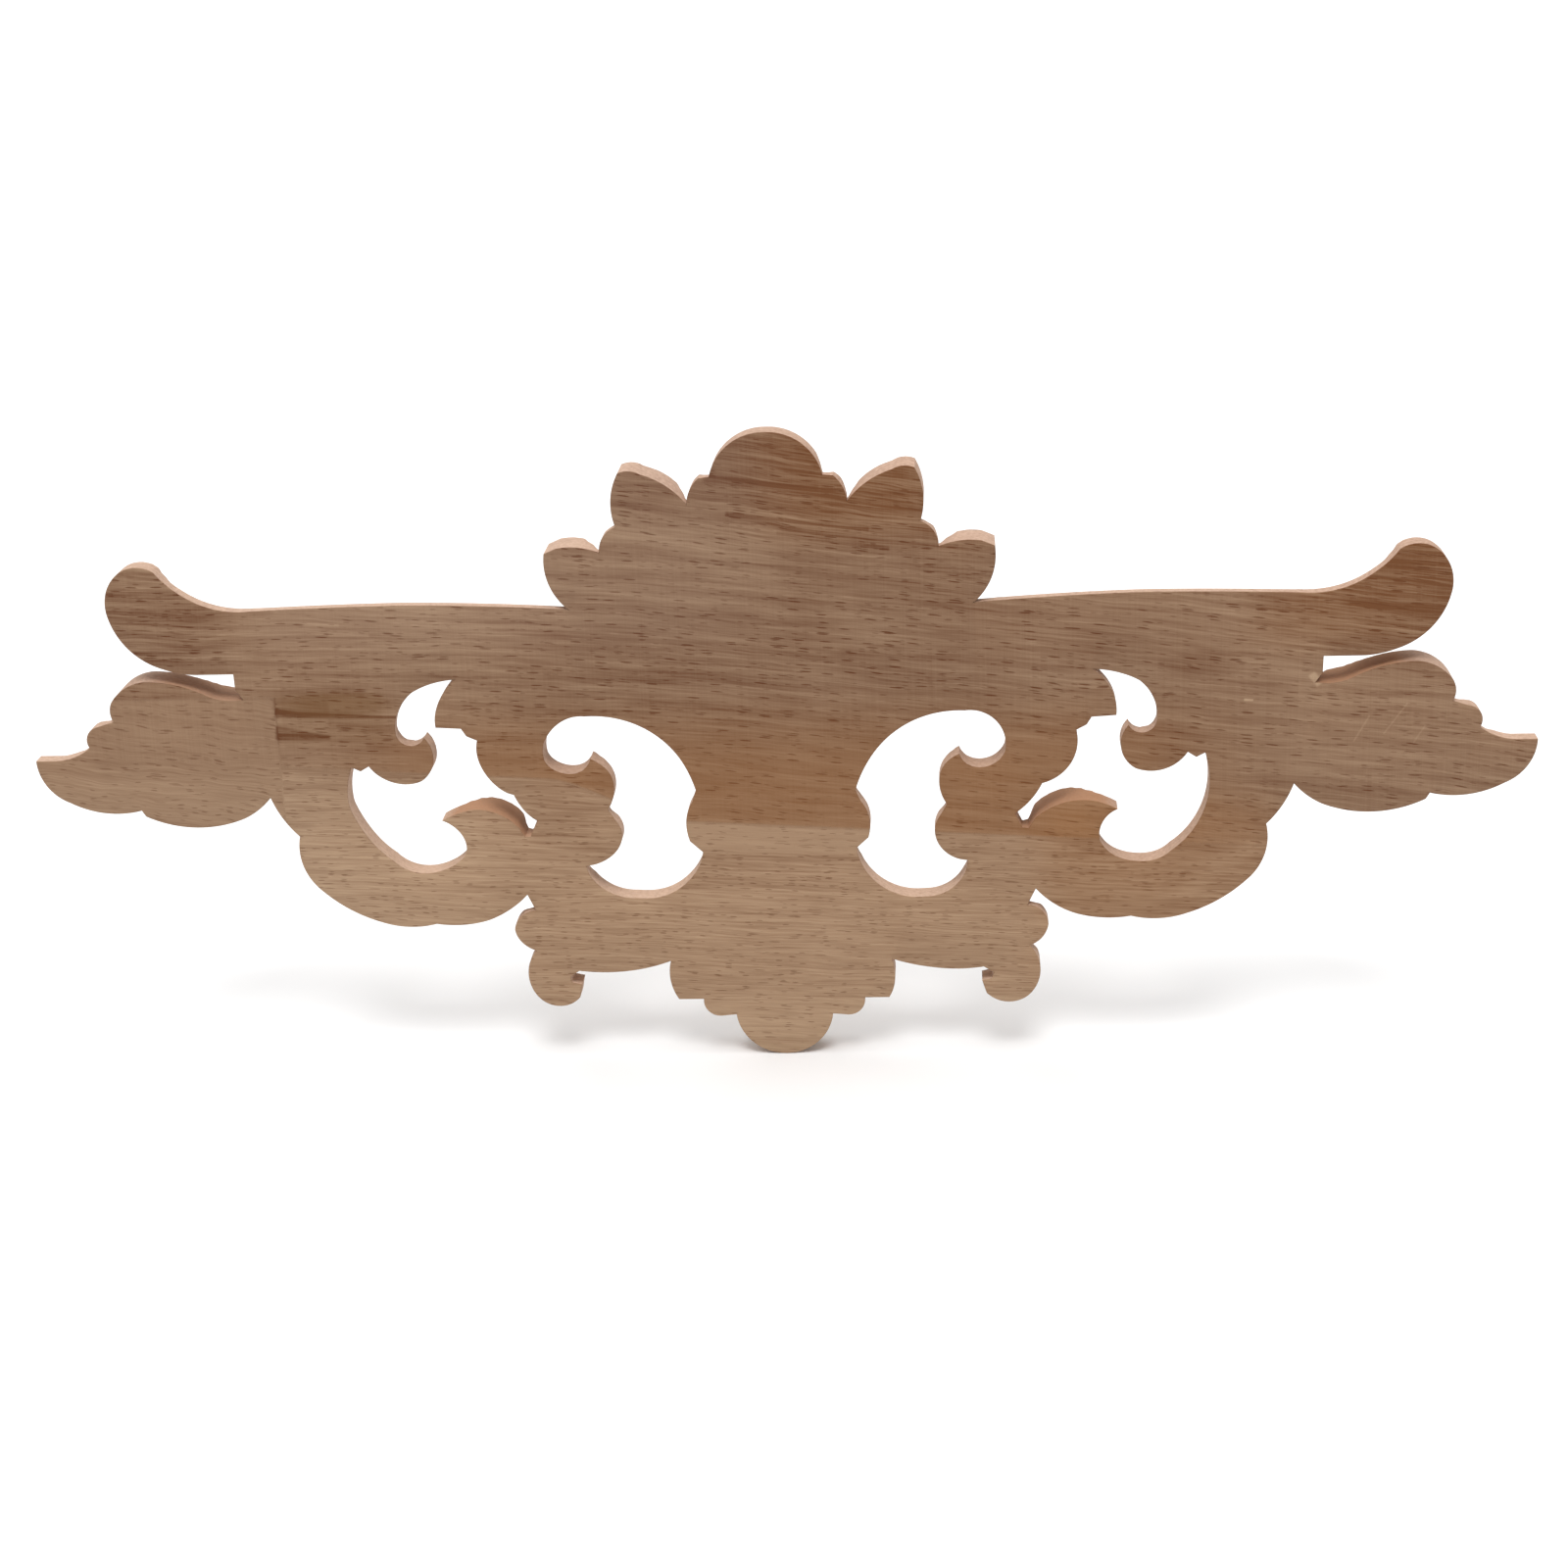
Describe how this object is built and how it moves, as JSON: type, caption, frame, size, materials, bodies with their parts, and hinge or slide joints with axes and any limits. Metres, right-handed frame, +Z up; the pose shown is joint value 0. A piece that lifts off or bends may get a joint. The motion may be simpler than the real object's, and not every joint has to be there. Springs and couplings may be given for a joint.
{
  "type": "carved wood applique",
  "caption": "Pierced, scrolled wood applique with a palmette crown, out-turned arms, leaf ends and a small pendant, carved in low relief on a flat back.",
  "frame": {"origin": "centre of the flat back, at half width and half height", "axes": "+X along the width, +Y out of the flat back (away from the carved front), +Z up to the crown"},
  "size_m": [0.3076, 0.0143, 0.1337],
  "materials": {
    "bare_wood": "sanded, bare"
  },
  "bodies": {
    "root": {"carved_applique": "bare_wood"}
  },
  "joints": []
}
